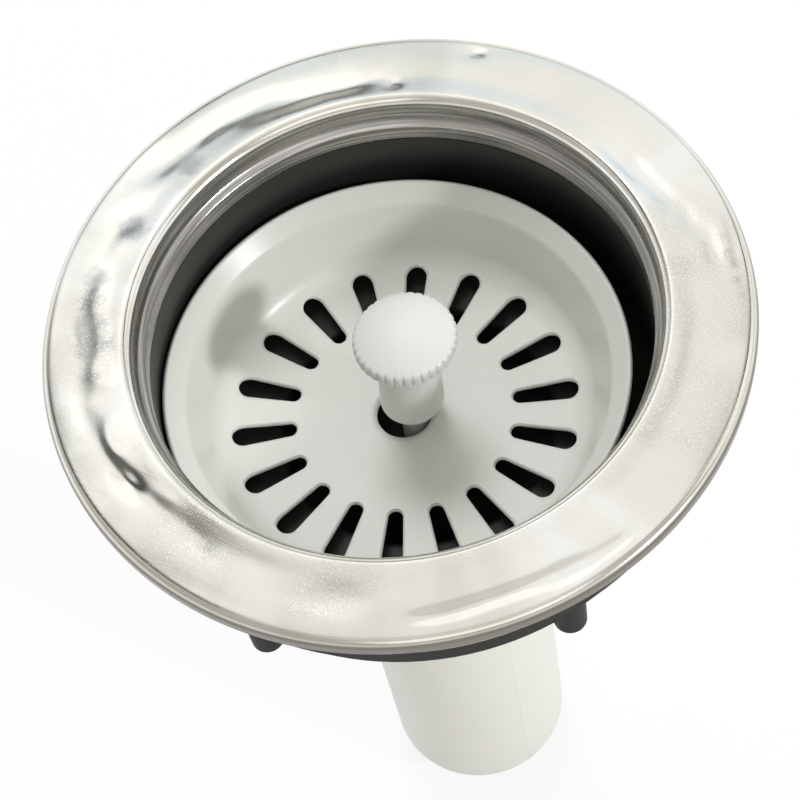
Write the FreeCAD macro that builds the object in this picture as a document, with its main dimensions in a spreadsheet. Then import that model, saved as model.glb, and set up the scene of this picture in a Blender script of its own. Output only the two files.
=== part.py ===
"""Basket strainer waste for a kitchen sink.

Frame: millimetres, +Z up, origin on the axis in the plane of the sink's top face, which is the
underside of the flange gasket.
"""

import FreeCAD, Part
import math
import os
import Sketcher

SIZES = [
    # pressed steel flange
    ("flange_dia", 114.0, "outside of the steel flange"),
    ("steel_gauge", 0.6, "thickness of the pressed steel"),
    ("skirt_height", 3.0, "height of the turned-down outer edge"),
    ("skirt_round", 1.4, "outer bend of the flange"),
    ("lip_round", 1.8, "inner bend of the flange"),
    ("collar_dia", 82.2, "bore of the collar at its lower end"),
    ("collar_depth", 8.5, "flange face to the end of the collar"),
    ("collar_step_depth", 4.4, "flange face to the step in the collar"),
    ("collar_step_height", 1.0, "height of the step in the collar"),
    ("collar_step_in", 1.2, "how far the step draws the collar in"),
    # moulded strainer body
    ("seat_gap", 0.15, "clearance between the steel and the moulding"),
    ("seat_ledge", 0.35, "ledge in the bowl below the end of the collar"),
    ("rim_plate", 2.4, "thickness of the body's flange"),
    ("neck_wall", 1.2, "wall of the neck behind the collar"),
    ("bowl_depth", 29.5, "sink top to the shelf that carries the basket"),
    ("bowl_round", 6.0, "inner corner between the bowl's wall and its shelf"),
    ("bowl_corner", 5.0, "outer corner of the bowl"),
    ("shelf_thick", 2.6, "thickness of the shelf"),
    ("shelf_bore_dia", 49.6, "opening in the shelf"),
    ("shelf_edge", 1.4, "rounded edge of the opening in the shelf"),
    ("sump_wall", 2.6, "wall of the sump"),
    ("seat_depth", 7.2, "shelf to the top of the stopper's seat"),
    ("seat_height", 3.2, "height of the stopper's conical seat"),
    ("outlet_dia", 40.0, "bore of the outlet"),
    ("outlet_wall", 3.6, "wall of the outlet's thread"),
    ("outlet_shoulder", 3.0, "seat to the top of the outlet's thread"),
    ("outlet_length", 13.0, "length of the outlet's thread"),
    ("web_count", 8, "webs under the shelf"),
    ("web_thick", 2.2, "thickness of a web"),
    ("web_reach", 12.5, "reach of a web from the sump"),
    # rubber gasket and washers
    ("gasket_thick", 2.5, "thickness of the flange gasket"),
    ("gasket_width", 9.5, "radial width of the flange gasket"),
    ("ring_gap", 0.4, "clearance of the gasket and the washers around the neck"),
    ("sink_washer_thick", 3.0, "thickness of the rubber washer"),
    ("friction_washer_thick", 1.2, "thickness of the slip ring"),
    ("washer_width", 7.2, "radial width of the two washers"),
    # clamp nut
    ("nut_drop", 22.5, "sink top to the lower end of the clamp nut"),
    ("nut_height", 13.0, "height of the clamp nut"),
    ("nut_wall", 3.9, "wall of the clamp nut"),
    ("nut_chamfer", 1.5, "chamfer at the lower edge of the clamp nut"),
    ("nut_flange_out", 3.4, "how far the nut's bearing flange stands out"),
    ("nut_flange_thick", 2.4, "thickness of the bearing flange"),
    ("thread_gap", 0.3, "radial clearance of both nuts on their threads"),
    ("lug_count", 6, "lugs on the clamp nut"),
    ("lug_radius", 2.7, "radius of a half-round lug"),
    ("lug_phase", 53.0, "direction of the first lug in degrees"),
    # slotted basket
    ("leg_play", 2.15, "radial play of the leg in the basket's hole"),
    ("slip_gap", 0.3, "gap left where the basket has slipped towards the leg"),
    ("rim_gap", 0.45, "gap left where the basket has slipped towards the bowl"),
    ("rim_drop", 11.5, "sink top down to the top of the basket's rim"),
    ("rim_band", 3.4, "radial width of the flared rim"),
    ("rim_flare", 2.8, "rise of the flared rim"),
    ("rim_edge", 1.2, "height of the rim's outer edge"),
    ("wall_run", 3.9, "how far the basket's wall draws in towards the floor"),
    ("wall_round", 5.0, "inner corner between the basket's wall and floor"),
    ("flare_round", 6.0, "bend between the basket's wall and its flared rim"),
    ("basket_wall", 1.6, "wall of the basket"),
    ("floor_thick", 0.9, "floor of the basket"),
    ("foot_height", 2.7, "height of the foot ring below the floor"),
    ("foot_width", 1.7, "width of the foot ring"),
    ("foot_margin", 0.8, "slots to the foot ring"),
    ("slot_count", 18, "slots in the floor"),
    ("slot_length", 11.3, "length of a slot"),
    ("slot_margin", 1.8, "outer end of the slots to the wall's foot"),
    ("slot_inner_width", 2.6, "width of a slot at its inner end"),
    ("slot_outer_width", 3.7, "width of a slot at its outer end"),
    ("slot_phase", 16.8, "direction of the first slot in degrees"),
    # knob, stem and leg
    ("knob_dia", 17.2, "widest part of the knob"),
    ("knob_edge", 2.0, "height of the knob's serrated edge"),
    ("knob_shoulder", 0.9, "bevel between the knob's edge and its domed top"),
    ("knob_crown", 1.6, "height of the knob's domed top"),
    ("knob_under", 1.6, "height of the cone under the knob"),
    ("stem_dia", 11.0, "diameter of the stem near its foot"),
    ("stem_top_dia", 10.2, "diameter of the stem under the knob"),
    ("stem_chamfer", 0.8, "chamfer around the foot of the stem"),
    ("stem_length", 16.4, "length of the stem below the knob"),
    ("stem_lift", 4.0, "floor of the basket to the end of the stem"),
    ("leg_dia", 5.3, "diameter of the leg"),
    ("serration_count", 36, "grooves around the knob"),
    ("serration_radius", 0.55, "radius of a groove"),
    ("serration_depth", 0.45, "depth of a groove"),
    # stopper
    ("backing_dia", 27.0, "diameter of the backing disc"),
    ("backing_thick", 1.6, "thickness of the backing disc"),
    ("seal_gap", 0.3, "gap between the stopper and its seat"),
    ("seal_thick", 3.4, "thickness of the rubber stopper"),
    ("screw_dia", 3.8, "diameter of the stopper screw"),
    ("screw_gap", 0.1, "radial clearance around the screw"),
    ("screw_grip", 9.0, "length of the screw inside the leg"),
    ("head_dia", 7.6, "diameter of the screw's head"),
    ("head_height", 2.4, "height of the screw's head"),
    ("head_chamfer", 0.8, "chamfer around the screw's head"),
    ("screw_tip_dia", 1.3, "diameter of the flat at the screw's tip"),
    ("washer_dia", 14.0, "diameter of the small steel washer"),
    ("washer_thick", 1.0, "thickness of the small steel washer"),
    # tail pipe and its coupling
    ("tail_dia", 38.1, "outside of the tail pipe"),
    ("tail_wall", 1.6, "wall of the tail pipe"),
    ("tail_length", 101.0, "length of the tail pipe with its collar"),
    ("tail_end_round", 0.5, "rounded lower edge of the tail pipe"),
    ("tail_washer_thick", 2.0, "thickness of the sealing washer"),
    ("tail_collar_thick", 3.0, "thickness of the tail pipe's collar"),
    ("tail_collar_out", 3.6, "how far the collar stands out"),
    ("tail_neck_out", 0.5, "how far the neck under the collar stands out"),
    ("tail_neck_length", 5.5, "length of the neck under the collar"),
    ("coupling_gap", 0.4, "clearance of the coupling nut around the tail pipe"),
    ("coupling_wall", 3.6, "wall of the coupling nut"),
    ("coupling_shoulder", 3.0, "thickness of the coupling nut's shoulder"),
    ("coupling_overlap", 11.0, "length of outlet thread inside the coupling nut"),
    ("coupling_chamfer", 1.2, "chamfered edges of the coupling nut"),
    ("grip_count", 12, "grip ribs on the coupling nut"),
    ("grip_radius", 1.5, "radius of a grip rib"),
]


class Size:
    """A length with its value and the sheet expression that it comes from."""

    def __init__(self, text, value):
        self.text = text
        self.value = value

    @staticmethod
    def of(item):
        return item if isinstance(item, Size) else Size(repr(float(item)), float(item))

    def __add__(self, other):
        other = Size.of(other)
        return Size(f"({self.text} + {other.text})", self.value + other.value)

    def __sub__(self, other):
        other = Size.of(other)
        return Size(f"({self.text} - {other.text})", self.value - other.value)

    def __rsub__(self, other):
        return Size.of(other) - self

    def __mul__(self, other):
        other = Size.of(other)
        return Size(f"({self.text} * {other.text})", self.value * other.value)

    def __truediv__(self, other):
        other = Size.of(other)
        return Size(f"({self.text} / {other.text})", self.value / other.value)

    def __neg__(self):
        return Size.of(0) - self


class Sheet:
    """The driving dimensions, each read by its name."""


def fill_sheet(document):
    sheet = document.addObject("Spreadsheet::Sheet", "Sizes")
    named = Sheet()
    for row, (alias, value, note) in enumerate(SIZES, start=1):
        sheet.set(f"A{row}", note)
        sheet.set(f"B{row}", str(value))
        sheet.setAlias(f"B{row}", alias)
        setattr(named, alias, Size(f"Sizes.{alias}", float(value)))
    document.recompute()
    return named


doc = FreeCAD.newDocument("basket_strainer_waste")
s = fill_sheet(doc)

# Levels on the axis, from the sink's top face
FLANGE_TOP = s.gasket_thick + s.rim_plate + s.steel_gauge
COLLAR_END = FLANGE_TOP - s.collar_depth
SHELF_TOP = -s.bowl_depth
SEAT_TOP = SHELF_TOP - s.seat_depth
SEAT_END = SEAT_TOP - s.seat_height
THREAD_TOP = SEAT_END - s.outlet_shoulder
OUTLET_END = THREAD_TOP - s.outlet_length
FLOOR_TOP = SHELF_TOP + s.foot_height + s.floor_thick
STEM_END = FLOOR_TOP + s.stem_lift
BACKING_TOP = SEAT_TOP + s.backing_thick
NUT_END = -s.nut_drop
TAIL_TOP = OUTLET_END - s.tail_washer_thick

# Radii shared by pieces that fit one another
COLLAR_IN = s.collar_dia / 2
MOUTH_IN = COLLAR_IN + s.collar_step_in
RECESS_LOW = COLLAR_IN + s.steel_gauge + s.seat_gap
RECESS_HIGH = MOUTH_IN + s.steel_gauge + s.seat_gap
BOWL_IN = RECESS_LOW - s.seat_ledge
NECK_OUT = RECESS_HIGH + s.neck_wall
OUTLET_IN = s.outlet_dia / 2
OUTLET_OUT = OUTLET_IN + s.outlet_wall
SHELF_BORE = s.shelf_bore_dia / 2
SEAT_IN = SHELF_BORE - s.shelf_edge
LEG_OUT = s.leg_dia / 2
BASKET_SLIP = s.leg_play - s.slip_gap
RIM_OUT = BOWL_IN - BASKET_SLIP - s.rim_gap
WALL_TOP = RIM_OUT - s.rim_band
WALL_FOOT = WALL_TOP - s.wall_run
SLOT_END = WALL_FOOT - s.slot_margin
SCREW_HOLE = s.screw_dia / 2 + s.screw_gap
TAIL_OUT = s.tail_dia / 2
TAIL_IN = TAIL_OUT - s.tail_wall


def origin_feature(body, role):
    for feature in body.Origin.OriginFeatures:
        if feature.Role == role:
            return feature
    raise ValueError(role)


def sketch_on(body, role, name, height=None):
    """A sketch on one of the body's own planes, raised along the plane's normal if asked."""
    sketch = body.newObject("Sketcher::SketchObject", name)
    sketch.AttachmentSupport = [(origin_feature(body, role), "")]
    sketch.MapMode = "FlatFace"
    if height is not None:
        sketch.setExpression("AttachmentOffset.Base.z", height.text)
    return sketch


def bind(sketch, constraint, size, name):
    """Add a dimension to the sketch and tie it to the sheet."""
    index = sketch.addConstraint(constraint)
    sketch.renameConstraint(index, name)
    sketch.setExpression(f"Constraints.{name}", size.text)


def place_point(sketch, geometry, end, x, y, name):
    """Fix one point of a sketch by its distances from the axis and from the base line."""
    for size, kind, line in ((x, "DistanceX", -2), (y, "DistanceY", -1)):
        if size is None:
            sketch.addConstraint(Sketcher.Constraint("PointOnObject", geometry, end, line))
            continue
        dimension = Sketcher.Constraint(kind, -1, 1, geometry, end, size.value)
        bind(sketch, dimension, size, f"{name}_{kind[-1]}")


def corner_cut(before, corner, after, radius):
    """Ends and centre of the arc that rounds a corner, and whether it turns to the left."""
    way_in = (before - corner).normalize()
    way_out = (after - corner).normalize()
    half = way_in.getAngle(way_out) / 2
    start = corner + way_in * (radius / math.tan(half))
    end = corner + way_out * (radius / math.tan(half))
    middle = (way_in + way_out).normalize()
    left = (corner - before).cross(after - corner).z > 0
    return start, end, corner + middle * (radius / math.sin(half)), left


def dome_arc(start, end, radius):
    """Arc that bulges to the right of the way from start to end, as a profile's outer side does."""
    half = (end - start) * 0.5
    inward = FreeCAD.Vector(-half.y, half.x, 0).normalize()
    centre = start + half + inward * math.sqrt(radius**2 - half.Length**2)
    circle = Part.Circle(centre, FreeCAD.Vector(0, 0, 1), radius)
    return Part.ArcOfCircle(circle, circle.parameter(start), circle.parameter(end))


def outline(sketch, corners, domes=None):
    """Closed profile through corners of (radius, height) or (radius, height, rounding).

    The profile runs counter-clockwise. A side named in domes, by the number of the corner that it
    starts from, is an arc of the radius given there.
    """
    domes = domes or {}
    points = []
    for corner in corners:
        x, y = (0.0 if size is None else size.value for size in corner[:2])
        points.append(FreeCAD.Vector(x, y, 0))
    count = len(points)
    cuts = {}
    for i, corner in enumerate(corners):
        if len(corner) == 3:
            before, after = points[i - 1], points[(i + 1) % count]
            cuts[i] = corner_cut(before, points[i], after, corner[2].value)
    for i in range(count):
        after = (i + 1) % count
        start = cuts[i][1] if i in cuts else points[i]
        end = cuts[after][0] if after in cuts else points[after]
        if i not in domes:
            sketch.addGeometry(Part.LineSegment(start, end), False)
            continue
        side = sketch.addGeometry(dome_arc(start, end, domes[i].value), False)
        bend = Sketcher.Constraint("Radius", side, domes[i].value)
        bind(sketch, bend, domes[i], f"dome_{i + 1}")
    for i, corner in enumerate(corners):
        line_in, line_out = (i - 1) % count, i
        name = f"corner_{i + 1}"
        if i not in cuts:
            sketch.addConstraint(Sketcher.Constraint("Coincident", line_in, 2, line_out, 1))
            place_point(sketch, line_out, 1, corner[0], corner[1], name)
            continue
        start, end, centre, left = cuts[i]
        first, last = (start, end) if left else (end, start)
        circle = Part.Circle(centre, FreeCAD.Vector(0, 0, 1), corner[2].value)
        arc = sketch.addGeometry(
            Part.ArcOfCircle(circle, circle.parameter(first), circle.parameter(last)), False
        )
        point = sketch.addGeometry(Part.Point(points[i]), True)
        place_point(sketch, point, 1, corner[0], corner[1], name)
        sketch.addConstraint(Sketcher.Constraint("PointOnObject", point, 1, line_in))
        sketch.addConstraint(Sketcher.Constraint("PointOnObject", point, 1, line_out))
        arc_start, arc_end = (1, 2) if left else (2, 1)
        sketch.addConstraint(Sketcher.Constraint("Tangent", line_in, 2, arc, arc_start))
        sketch.addConstraint(Sketcher.Constraint("Tangent", arc, arc_end, line_out, 1))
        radius = Sketcher.Constraint("Radius", arc, corner[2].value)
        bind(sketch, radius, corner[2], f"{name}_round")


def new_body(label, level=None):
    body = doc.addObject("PartDesign::Body", label)
    body.Label = label
    if level is not None:
        body.setExpression("Placement.Base.z", level.text)
    return body


def turned(label, corners, level=None, domes=None):
    """A piece with a round section: its profile, turned once around the axis."""
    body = new_body(label, level)
    sketch = sketch_on(body, "XZ_Plane", f"{label}_profile")
    outline(sketch, corners, domes)
    solid = body.newObject("PartDesign::Revolution", f"{label}_turned")
    solid.Profile = sketch
    solid.ReferenceAxis = (sketch, ["V_Axis"])
    solid.Angle = 360
    body.Tip = solid
    doc.recompute()
    return body


def ring_of(body, feature, count, name):
    """Repeat a feature around the body's axis."""
    pattern = body.newObject("PartDesign::PolarPattern", name)
    pattern.Originals = [feature]
    pattern.Axis = (origin_feature(body, "Z_Axis"), [""])
    pattern.Angle = 360
    pattern.setExpression("Occurrences", count.text)
    body.Tip = pattern
    doc.recompute()


def checked(body, name, grows):
    """A feature that should add or remove material is compared with the body before it."""
    doc.recompute()
    before = body.Tip.Shape.Volume
    return lambda feature: check_change(feature.Shape.Volume - before, grows, name)


def check_change(change, grows, name):
    if (change > 0) != grows or abs(change) < 1e-3:
        raise RuntimeError(f"{name} changed nothing")


def round_boss(body, name, centre, radius, length, count):
    """Half-round ribs around a nut, each a boss that stands in the nut's wall."""
    compare = checked(body, name, grows=True)
    sketch = sketch_on(body, "XY_Plane", f"{name}_section")
    middle = FreeCAD.Vector(centre.value, 0, 0)
    circle = sketch.addGeometry(Part.Circle(middle, FreeCAD.Vector(0, 0, 1), radius.value), False)
    place_point(sketch, circle, 3, centre, None, "centre")
    bind(sketch, Sketcher.Constraint("Radius", circle, radius.value), radius, "boss_radius")
    boss = body.newObject("PartDesign::Pad", name)
    boss.Profile = sketch
    boss.setExpression("Length", length.text)
    doc.recompute()
    compare(boss)
    ring_of(body, boss, count, f"{name}_ring")


def steel_flange():
    """Pressed sheet: skirt, flat face, rounded lip and a collar with one step."""
    top, gauge = FLANGE_TOP, s.steel_gauge
    edge = s.flange_dia / 2
    skirt_end = top - s.skirt_height
    step_top = top - s.collar_step_depth
    step_end = step_top - s.collar_step_height
    return turned("steel_flange", [
        (edge, skirt_end),
        (edge, top, s.skirt_round),
        (MOUTH_IN, top, s.lip_round),
        (MOUTH_IN, step_top),
        (COLLAR_IN, step_end),
        (COLLAR_IN, COLLAR_END),
        (COLLAR_IN + gauge, COLLAR_END),
        (COLLAR_IN + gauge, step_end),
        (MOUTH_IN + gauge, step_top),
        (MOUTH_IN + gauge, top - gauge, s.lip_round - gauge),
        (edge - gauge, top - gauge, s.skirt_round - gauge),
        (edge - gauge, skirt_end),
    ])


def strainer_body():
    """Moulded bowl: flange, neck, shelf for the basket, sump, stopper seat and threaded outlet."""
    edge = s.flange_dia / 2 - s.steel_gauge - s.seat_gap
    plate_top = FLANGE_TOP - s.steel_gauge
    step_top = FLANGE_TOP - s.collar_step_depth
    step_end = step_top - s.collar_step_height
    ledge = COLLAR_END - s.seat_gap
    shelf_under = SHELF_TOP - s.shelf_thick
    sump_out = SHELF_BORE + s.sump_wall
    body = turned("strainer_body", [
        (edge, s.gasket_thick),
        (edge, plate_top - s.skirt_round),
        (edge - s.skirt_round, plate_top),
        (RECESS_HIGH + s.lip_round, plate_top),
        (RECESS_HIGH, plate_top - s.lip_round),
        (RECESS_HIGH, step_top - s.seat_gap),
        (RECESS_LOW, step_end - s.seat_gap),
        (RECESS_LOW, ledge),
        (BOWL_IN, ledge),
        (BOWL_IN, SHELF_TOP, s.bowl_round),
        (SEAT_IN, SHELF_TOP, s.shelf_edge),
        (SEAT_IN, SEAT_TOP),
        (OUTLET_IN, SEAT_END),
        (OUTLET_IN, OUTLET_END),
        (OUTLET_OUT, OUTLET_END),
        (OUTLET_OUT, THREAD_TOP),
        (sump_out, SEAT_END),
        (sump_out, shelf_under),
        (NECK_OUT, shelf_under, s.bowl_corner),
        (NECK_OUT, s.gasket_thick),
    ])
    add_webs(body, sump_out, shelf_under)
    return body


def add_webs(body, sump_out, shelf_under):
    """Triangular webs between the shelf and the sump, rooted in both walls."""
    compare = checked(body, "web", grows=True)
    root_in = sump_out - s.sump_wall / 2
    root_top = shelf_under + s.shelf_thick / 2
    sketch = sketch_on(body, "XZ_Plane", "web_side")
    outline(sketch, [
        (root_in, root_top),
        (root_in, SEAT_END),
        (sump_out, SEAT_END),
        (sump_out + s.web_reach, shelf_under),
        (sump_out + s.web_reach, root_top),
    ])
    web = body.newObject("PartDesign::Pad", "web")
    web.Profile = sketch
    web.Midplane = True
    web.setExpression("Length", s.web_thick.text)
    doc.recompute()
    compare(web)
    ring_of(body, web, s.web_count, "webs")


def flat_ring(label, bore, width, thick, level):
    """Gasket or washer, cut from sheet with square edges."""
    outer = bore + width
    return turned(label, [(bore, None), (outer, None), (outer, thick), (bore, thick)], level)


def strainer_basket():
    """Dished moulding on a foot ring: flared rim, sloping wall, slotted floor and centre hole."""
    wall = s.basket_wall
    floor = s.foot_height + s.floor_thick
    rim_top = s.bowl_depth - s.rim_drop
    flare_end = rim_top - s.rim_flare
    hole = LEG_OUT + s.leg_play
    foot_in = SLOT_END + s.foot_margin
    foot_out = foot_in + s.foot_width
    body = turned("strainer_basket", [
        (hole, s.foot_height),
        (foot_in, s.foot_height),
        (foot_in, None),
        (foot_out, None),
        (foot_out, floor),
        (WALL_TOP + wall, flare_end - wall / 2),
        (RIM_OUT, rim_top - s.rim_edge),
        (RIM_OUT, rim_top),
        (RIM_OUT - s.rim_edge / 2, rim_top),
        (WALL_TOP, flare_end, s.flare_round),
        (WALL_FOOT, floor, s.wall_round),
        (hole, floor),
    ], SHELF_TOP)
    cut_slots(body, floor)
    body.setExpression("Placement.Base.x", (-BASKET_SLIP).text)
    body.setExpression("Placement.Rotation.Angle", s.slot_phase.text)
    return body


def cut_slots(body, floor):
    """One tapered slot with round ends, repeated around the floor."""
    compare = checked(body, "slot", grows=False)
    sketch = sketch_on(body, "XY_Plane", "slot_shape", floor + s.wall_round / 2)
    small, large = s.slot_inner_width / 2, s.slot_outer_width / 2
    near = SLOT_END - s.slot_length + small
    far = SLOT_END - large
    lean = math.asin((large.value - small.value) / (far.value - near.value))
    up = FreeCAD.Vector(0, 0, 1)
    ends = []
    for centre, radius, name in ((near, small, "inner"), (far, large, "outer")):
        circle = Part.Circle(FreeCAD.Vector(centre.value, 0, 0), up, radius.value)
        upper, lower = math.pi / 2 + lean, 1.5 * math.pi - lean
        span = (upper, lower) if name == "inner" else (lower - 2 * math.pi, upper)
        arc = sketch.addGeometry(Part.ArcOfCircle(circle, *span), False)
        place_point(sketch, arc, 3, centre, None, name)
        bind(sketch, Sketcher.Constraint("Radius", arc, radius.value), radius, f"{name}_end")
        ends.append(arc)
    inner, outer = ends
    for inner_end, outer_end in ((1, 2), (2, 1)):
        start = sketch.getPoint(inner, inner_end)
        end = sketch.getPoint(outer, outer_end)
        side = sketch.addGeometry(Part.LineSegment(start, end), False)
        sketch.addConstraint(Sketcher.Constraint("Tangent", side, 1, inner, inner_end))
        sketch.addConstraint(Sketcher.Constraint("Tangent", side, 2, outer, outer_end))
    slot = body.newObject("PartDesign::Pocket", "slot")
    slot.Profile = sketch
    slot.setExpression("Length", (floor + s.wall_round / 2).text)
    doc.recompute()
    compare(slot)
    ring_of(body, slot, s.slot_count, "slots")


def plug_knob():
    """Mushroom knob, stem and leg in one moulding, with a pilot hole for the stopper screw."""
    knob, stem, stem_top = s.knob_dia / 2, s.stem_dia / 2, s.stem_top_dia / 2
    leg_end = BACKING_TOP - STEM_END
    under = s.stem_length
    edge_end = under + s.knob_under
    edge_top = edge_end + s.knob_edge
    shoulder_top = edge_top + s.knob_shoulder
    crown = shoulder_top + s.knob_crown
    rim = knob - s.knob_shoulder
    dome = (rim * rim + s.knob_crown * s.knob_crown) / (s.knob_crown * 2)
    profile = [
        (None, crown),
        (None, leg_end + s.screw_grip),
        (SCREW_HOLE, leg_end + s.screw_grip),
        (SCREW_HOLE, leg_end),
        (LEG_OUT, leg_end),
        (LEG_OUT, None),
        (stem - s.stem_chamfer, None),
        (stem, s.stem_chamfer),
        (stem_top, under),
        (knob, edge_end),
        (knob, edge_top),
        (rim, shoulder_top),
    ]
    body = turned("plug_knob", profile, STEM_END, domes={len(profile) - 1: dome})
    cut_serrations(body, knob, shoulder_top)
    return body


def cut_serrations(body, knob, shoulder_top):
    """Fine grooves around the edge of the knob, through its bevel."""
    compare = checked(body, "serration", grows=False)
    sketch = sketch_on(body, "XY_Plane", "serration_section", shoulder_top)
    centre = knob + s.serration_radius - s.serration_depth
    middle = FreeCAD.Vector(centre.value, 0, 0)
    up = FreeCAD.Vector(0, 0, 1)
    circle = sketch.addGeometry(Part.Circle(middle, up, s.serration_radius.value), False)
    place_point(sketch, circle, 3, centre, None, "centre")
    radius = Sketcher.Constraint("Radius", circle, s.serration_radius.value)
    bind(sketch, radius, s.serration_radius, "groove_radius")
    groove = body.newObject("PartDesign::Pocket", "serration")
    groove.Profile = sketch
    groove.setExpression("Length", (s.knob_shoulder + s.knob_edge + s.knob_under).text)
    doc.recompute()
    compare(groove)
    ring_of(body, groove, s.serration_count, "serrations")


def stopper_seal():
    """Rubber stopper whose cone follows the seat in the outlet."""
    slope = (SEAT_IN - OUTLET_IN) / s.seat_height
    top = SEAT_IN - s.seal_gap
    return turned("stopper_seal", [
        (SCREW_HOLE, None),
        (top - s.seal_thick * slope, None),
        (top, s.seal_thick),
        (SCREW_HOLE, s.seal_thick),
    ], SEAT_TOP - s.seal_thick)


def stopper_screw():
    """Pan-head screw that runs up into the leg."""
    shank, head = s.screw_dia / 2, s.head_dia / 2
    grip = s.washer_thick + s.seal_thick + s.backing_thick + s.screw_grip
    level = BACKING_TOP + s.screw_grip - grip - s.head_height
    length = s.head_height + grip - s.screw_gap
    return turned("stopper_screw", [
        (None, None),
        (head - s.head_chamfer, None),
        (head, s.head_chamfer),
        (head, s.head_height),
        (shank, s.head_height),
        (shank, length - shank),
        (s.screw_tip_dia / 2, length),
        (None, length),
    ], level)


def clamp_nut():
    """Nut with a bearing flange at the top, a chamfered lower edge and half-round lugs."""
    bore = NECK_OUT + s.thread_gap
    outer = bore + s.nut_wall
    flange = outer + s.nut_flange_out
    body = turned("clamp_nut", [
        (bore, None),
        (outer - s.nut_chamfer, None),
        (outer, s.nut_chamfer),
        (outer, s.nut_height - s.nut_flange_thick),
        (flange, s.nut_height - s.nut_flange_thick),
        (flange, s.nut_height),
        (bore, s.nut_height),
    ], NUT_END)
    round_boss(body, "lug", outer, s.lug_radius, s.nut_height, s.lug_count)
    body.setExpression("Placement.Rotation.Angle", s.lug_phase.text)
    return body


def tail_pipe():
    """Plain pipe with a collar and a short stiffened neck at its upper end."""
    collar = TAIL_OUT + s.tail_collar_out
    neck = TAIL_OUT + s.tail_neck_out
    collar_under = s.tail_length - s.tail_collar_thick
    return turned("tail_pipe", [
        (TAIL_IN, None),
        (TAIL_OUT, None, s.tail_end_round),
        (TAIL_OUT, collar_under - s.tail_neck_length),
        (neck, collar_under - s.tail_neck_length + s.tail_neck_out),
        (neck, collar_under),
        (collar, collar_under),
        (collar, s.tail_length),
        (TAIL_IN, s.tail_length),
    ], TAIL_TOP - s.tail_length)


def coupling_nut():
    """Nut on the outlet's thread, with a shoulder under the pipe's collar and grip ribs."""
    bore = OUTLET_OUT + s.thread_gap
    outer = bore + s.coupling_wall
    way = TAIL_OUT + s.tail_neck_out + s.coupling_gap
    inside = s.coupling_shoulder + s.tail_collar_thick + s.tail_washer_thick
    height = inside + s.coupling_overlap
    body = turned("coupling_nut", [
        (way, None),
        (outer - s.coupling_chamfer, None),
        (outer, s.coupling_chamfer),
        (outer, height - s.coupling_chamfer),
        (outer - s.coupling_chamfer, height),
        (bore, height),
        (bore, s.coupling_shoulder),
        (way, s.coupling_shoulder),
    ], TAIL_TOP - s.tail_collar_thick - s.coupling_shoulder)
    length = height - s.coupling_chamfer
    round_boss(body, "grip", outer - s.grip_radius / 2, s.grip_radius, length, s.grip_count)
    return body


def build():
    ring_bore = NECK_OUT + s.ring_gap
    nut_top = NUT_END + s.nut_height
    slip_top = nut_top + s.friction_washer_thick
    backing_under = BACKING_TOP - s.backing_thick
    seal_under = backing_under - s.seal_thick
    return [
        steel_flange(),
        strainer_body(),
        flat_ring("flange_gasket", ring_bore, s.gasket_width, s.gasket_thick, Size.of(0)),
        clamp_nut(),
        flat_ring("friction_washer", ring_bore, s.washer_width, s.friction_washer_thick, nut_top),
        flat_ring("sink_washer", ring_bore, s.washer_width, s.sink_washer_thick, slip_top),
        strainer_basket(),
        plug_knob(),
        flat_ring("stopper_backing", SCREW_HOLE, s.backing_dia / 2 - SCREW_HOLE, s.backing_thick,
                  backing_under),
        stopper_seal(),
        flat_ring("stopper_washer", SCREW_HOLE, s.washer_dia / 2 - SCREW_HOLE, s.washer_thick,
                  seal_under - s.washer_thick),
        stopper_screw(),
        flat_ring("tail_washer", TAIL_IN, s.tail_wall + s.tail_collar_out, s.tail_washer_thick,
                  TAIL_TOP),
        tail_pipe(),
        coupling_nut(),
    ]


def check(pieces):
    doc.recompute()
    for item in doc.Objects:
        if "Invalid" in item.State or "Error" in item.State:
            raise RuntimeError(f"{item.Label} failed to build")
    for piece in pieces:
        if piece.Shape.isNull() or not piece.Shape.isValid() or len(piece.Shape.Solids) != 1:
            raise RuntimeError(f"{piece.Label} is not one valid solid")


def export(pieces):
    os.makedirs("parts", exist_ok=True)
    for piece in pieces:
        piece.Shape.exportStep(os.path.join("parts", piece.Label + ".step"))
        box = piece.Shape.BoundBox
        print(f"{piece.Label}: z {box.ZMin:.2f} to {box.ZMax:.2f}, "
              f"x {box.XMin:.2f} to {box.XMax:.2f}, volume {piece.Shape.Volume:.0f}")


solids = build()
check(solids)
export(solids)
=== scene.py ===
# %% [markdown]
# # A basket strainer waste, dressed for its picture
#
# The part is the waste of a kitchen sink: a polished steel flange, a black bowl, a white basket
# with a pull knob, and the nuts, washers and tail pipe below. Its solids are already packed, so
# this lesson only dresses them: a camera, a stage, finishes made of shader nodes, and new meshes
# for the flange, the bowl, the basket, the knob and the pipe, whose real surfaces are livelier
# than plain solids.

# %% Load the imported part
import math

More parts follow.
